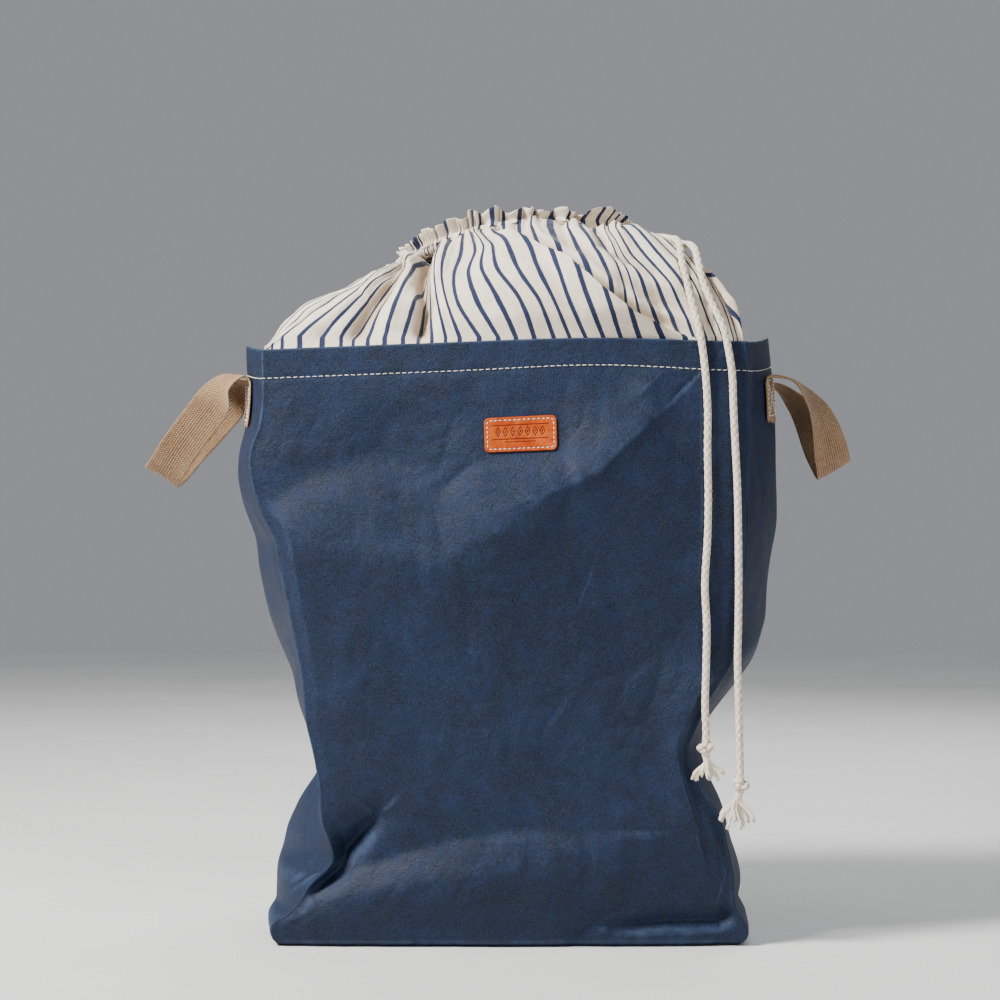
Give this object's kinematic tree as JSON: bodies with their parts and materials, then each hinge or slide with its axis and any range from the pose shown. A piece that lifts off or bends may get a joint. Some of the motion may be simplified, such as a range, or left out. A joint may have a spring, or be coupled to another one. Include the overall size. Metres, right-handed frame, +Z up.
{
  "type": "drawstring sack",
  "caption": "Soft upright sack with a gathered striped cotton collar, drawcord, webbing side handles and a leather patch on a flat rectangular base.",
  "frame": {"origin": "centre of the base, on its underside", "axes": "+Z up, +X to the right seen from the front, front with the patch and the cord tails faces -Y"},
  "size_m": [0.7094, 0.303, 0.7281],
  "materials": {
    "navy_paper": "creased waxed cloth, satin",
    "striped_cotton": "plain weave cotton with narrow navy stripes",
    "cotton_cord": "braided cotton, matt",
    "tan_webbing": "coarse basket weave, matt",
    "tan_leather": "smooth, soft sheen",
    "cream_thread": "waxed thread"
  },
  "bodies": {
    "root": {"front_panel": "navy_paper", "back_panel": "navy_paper", "left_gusset": "navy_paper", "right_gusset": "navy_paper", "base_panel": "navy_paper", "rim_facing": "navy_paper", "collar_front": "striped_cotton", "collar_back": "striped_cotton", "mouth_casing": "striped_cotton", "mouth_frill": "striped_cotton", "drawcord_ring": "cotton_cord", "inner_tail_upper": "cotton_cord", "outer_tail_upper": "cotton_cord", "left_front_foot": "tan_webbing", "left_rear_foot": "tan_webbing", "right_front_foot": "tan_webbing", "right_rear_foot": "tan_webbing", "label_patch": "tan_leather", "rim_thread": "cream_thread", "label_thread": "cream_thread", "left_front_foot_thread": "cream_thread", "left_rear_foot_thread": "cream_thread", "right_front_foot_thread": "cream_thread", "right_rear_foot_thread": "cream_thread"},
    "left_handle": {"left_handle": "tan_webbing"},
    "right_handle": {"right_handle": "tan_webbing"},
    "inner_tail": {"inner_tail_lower": "cotton_cord", "inner_knot": "cotton_cord", "inner_tassel": "cotton_cord"},
    "outer_tail": {"outer_tail_lower": "cotton_cord", "outer_knot": "cotton_cord", "outer_tassel": "cotton_cord"}
  },
  "joints": [
    {"name": "left_handle_swing", "type": "hinge", "parent": "root", "child": "left_handle", "pos_m": [-0.2612, 0, 0.5455], "axis": [0, 1, 0], "range_deg": [-15, 70]},
    {"name": "right_handle_swing", "type": "hinge", "parent": "root", "child": "right_handle", "pos_m": [0.26, 0, 0.5455], "axis": [0, -1, 0], "range_deg": [-15, 85]},
    {"name": "inner_tail_swing", "type": "hinge", "parent": "root", "child": "inner_tail", "pos_m": [0.184, -0.14645, 0.568], "axis": [-1, 0, 0], "range_deg": [0, 60]},
    {"name": "outer_tail_swing", "type": "hinge", "parent": "root", "child": "outer_tail", "pos_m": [0.2085, -0.14645, 0.568], "axis": [-1, 0, 0], "range_deg": [0, 60]}
  ]
}
